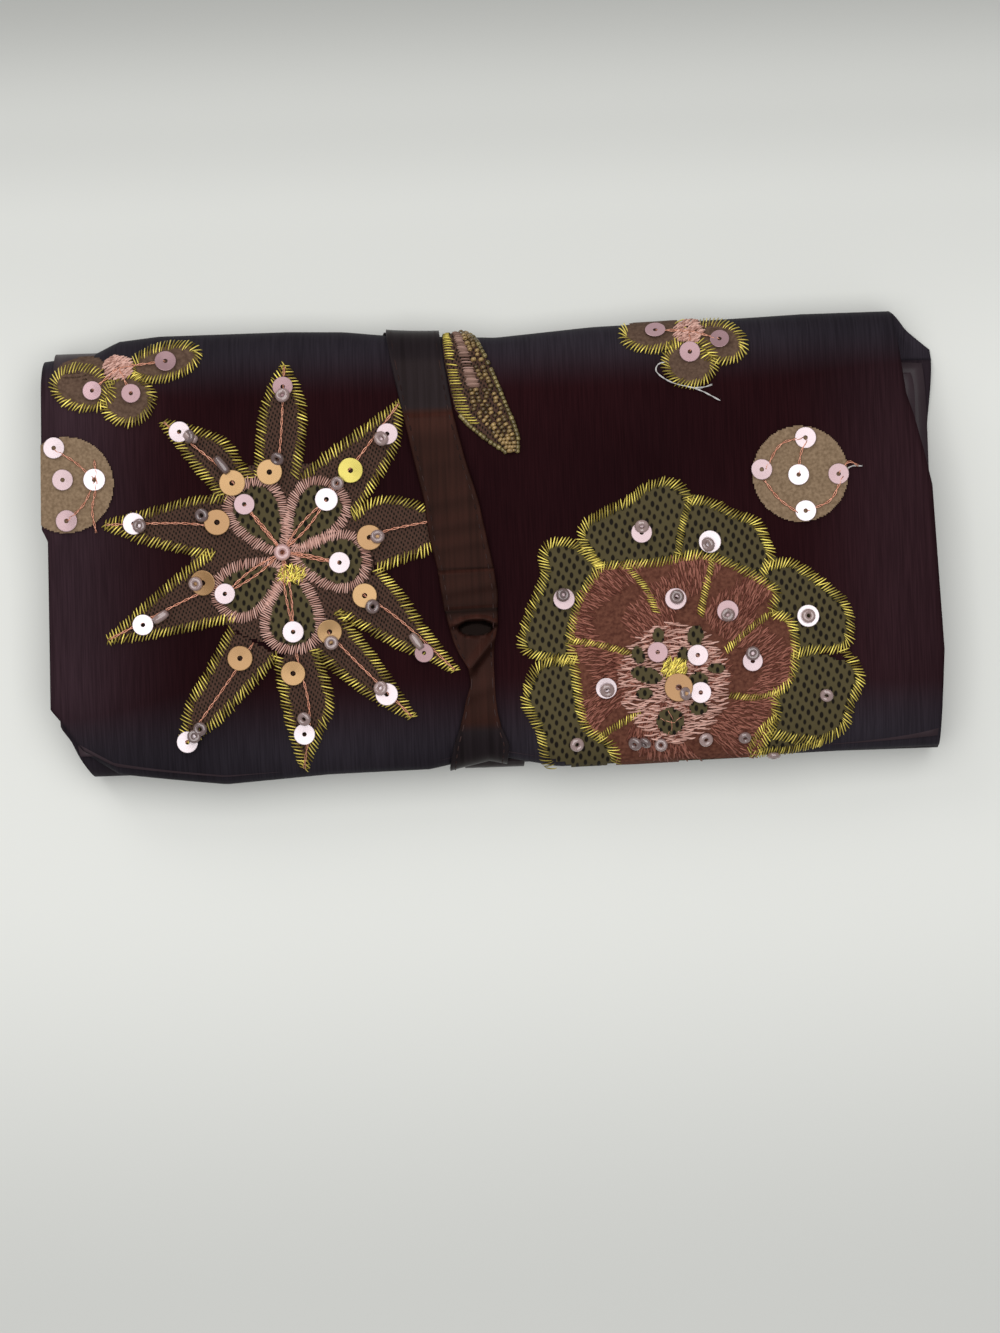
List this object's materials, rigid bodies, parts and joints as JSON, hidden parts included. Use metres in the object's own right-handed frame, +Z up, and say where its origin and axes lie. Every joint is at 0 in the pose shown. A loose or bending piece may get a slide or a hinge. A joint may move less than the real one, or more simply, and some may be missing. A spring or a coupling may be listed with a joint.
{
  "type": "jewelry roll",
  "caption": "Padded silk jewelry roll folded shut and tied with a ribbon, embroidered outside, with zip pockets, a slip pocket and a stuffed ring bar with a snap inside",
  "frame": {"origin": "middle of the surface that the closed roll lies on", "axes": "X along the roll, +Y to the cover's fold, +Z up out of the embroidered front"},
  "size_m": [0.22, 0.1086, 0.0235],
  "materials": {
    "silk": "plum shot silk, fine rib",
    "satin": "brown plum satin",
    "wadding": "soft polyester wadding",
    "zip_tape": "woven tape with a coil chain",
    "gilt_brass": "polished brass",
    "olive_net": "embroidered net",
    "taupe_felt": "brushed felt",
    "gold_thread": "metallic embroidery thread"
  },
  "bodies": {
    "back": {"back_silk": "silk", "back_wadding": "wadding", "back_lining": "satin", "back_slip_pocket": "satin", "snap_socket": "gilt_brass"},
    "cover_fold": {"cover_fold_silk": "silk", "cover_fold_lining": "satin"},
    "cover": {"cover_silk": "silk", "cover_wadding": "wadding", "cover_lining": "satin", "cover_pocket_fold_side": "satin", "cover_pocket_hem_side": "satin", "cover_zip_tape_hem_side": "zip_tape", "cover_zip_tape_fold_side": "zip_tape", "cover_zip_open_stop": "gilt_brass", "cover_zip_closed_stop": "gilt_brass", "star_flower_patch": "gold_thread", "dahlia_patch": "olive_net", "round_patch_right": "taupe_felt", "round_patch_left": "taupe_felt", "posy_patch_left": "taupe_felt", "posy_patch_right": "taupe_felt", "tie_ribbon": "satin"},
    "cover_slider": {"cover_zip_slider": "gilt_brass"},
    "cover_pull": {"cover_zip_pull": "gilt_brass"},
    "flap_fold": {"flap_fold_silk": "silk", "flap_fold_lining": "satin"},
    "flap": {"flap_silk": "silk", "flap_wadding": "wadding", "flap_lining": "satin", "flap_pocket_fold_side": "satin", "flap_pocket_hem_side": "satin", "flap_zip_tape_hem_side": "zip_tape", "flap_zip_tape_fold_side": "zip_tape", "flap_zip_open_stop": "gilt_brass", "flap_zip_closed_stop": "gilt_brass"},
    "flap_slider": {"flap_zip_slider": "gilt_brass"},
    "flap_pull": {"flap_zip_pull": "gilt_brass"},
    "ring_bar": {"ring_bar": "satin", "ring_bar_anchor_tab": "satin", "ring_bar_snap_tab": "satin", "snap_stud": "gilt_brass", "snap_cap": "gilt_brass"},
    "tie_end": {"tie_leaf": "gold_thread"}
  },
  "joints": [
    {"name": "cover_opening", "type": "hinge", "parent": "back", "child": "cover_fold", "pos_m": [0, 0.05084, 0.00266], "axis": [-1, 0, 0], "range_deg": [0, 90], "deforming": ["tie_ribbon"]},
    {"name": "cover_turn", "type": "hinge", "parent": "cover_fold", "child": "cover", "pos_m": [0, 0.05084, 0.01549], "axis": [-1, 0, 0], "range_deg": [0, 85.5]},
    {"name": "flap_opening", "type": "hinge", "parent": "back", "child": "flap_fold", "pos_m": [0, -0.05146, 0.00204], "axis": [1, 0, 0], "range_deg": [0, 90]},
    {"name": "flap_turn", "type": "hinge", "parent": "flap_fold", "child": "flap", "pos_m": [0, -0.05146, 0.01186], "axis": [1, 0, 0], "range_deg": [0, 90]},
    {"name": "ring_bar_lift", "type": "hinge", "parent": "back", "child": "ring_bar", "pos_m": [-0.0993, 0.0205, 0.0042], "axis": [0, -1, 0], "range_deg": [0, 19.8]},
    {"name": "cover_zip_slide", "type": "slide", "parent": "cover", "child": "cover_slider", "axis": [-1, 0, 0], "range_m": [0, 0.168]},
    {"name": "cover_pull_swivel", "type": "hinge", "parent": "cover_slider", "child": "cover_pull", "pos_m": [0.084, 0.003, 0.0115], "axis": [0, 0, 1], "range_deg": [-25, 25]},
    {"name": "flap_zip_slide", "type": "slide", "parent": "flap", "child": "flap_slider", "axis": [-1, 0, 0], "range_m": [0, 0.168]},
    {"name": "flap_pull_swivel", "type": "hinge", "parent": "flap_slider", "child": "flap_pull", "pos_m": [0.084, -0.02605, 0.0065], "axis": [0, 0, 1], "range_deg": [-25, 25]},
    {"name": "tie_end_lift", "type": "hinge", "parent": "cover", "child": "tie_end", "pos_m": [-0.0066, 0.04784, 0.01845], "axis": [-1, 0, 0], "range_deg": [0, 100]}
  ],
  "couplings": [
    {"joint": "cover_turn", "follows": "cover_opening", "ratio": 0.95},
    {"joint": "flap_opening", "follows": "cover_opening", "ratio": 1},
    {"joint": "flap_turn", "follows": "cover_opening", "ratio": 1},
    {"joint": "ring_bar_lift", "follows": "cover_opening", "ratio": 0.22}
  ]
}
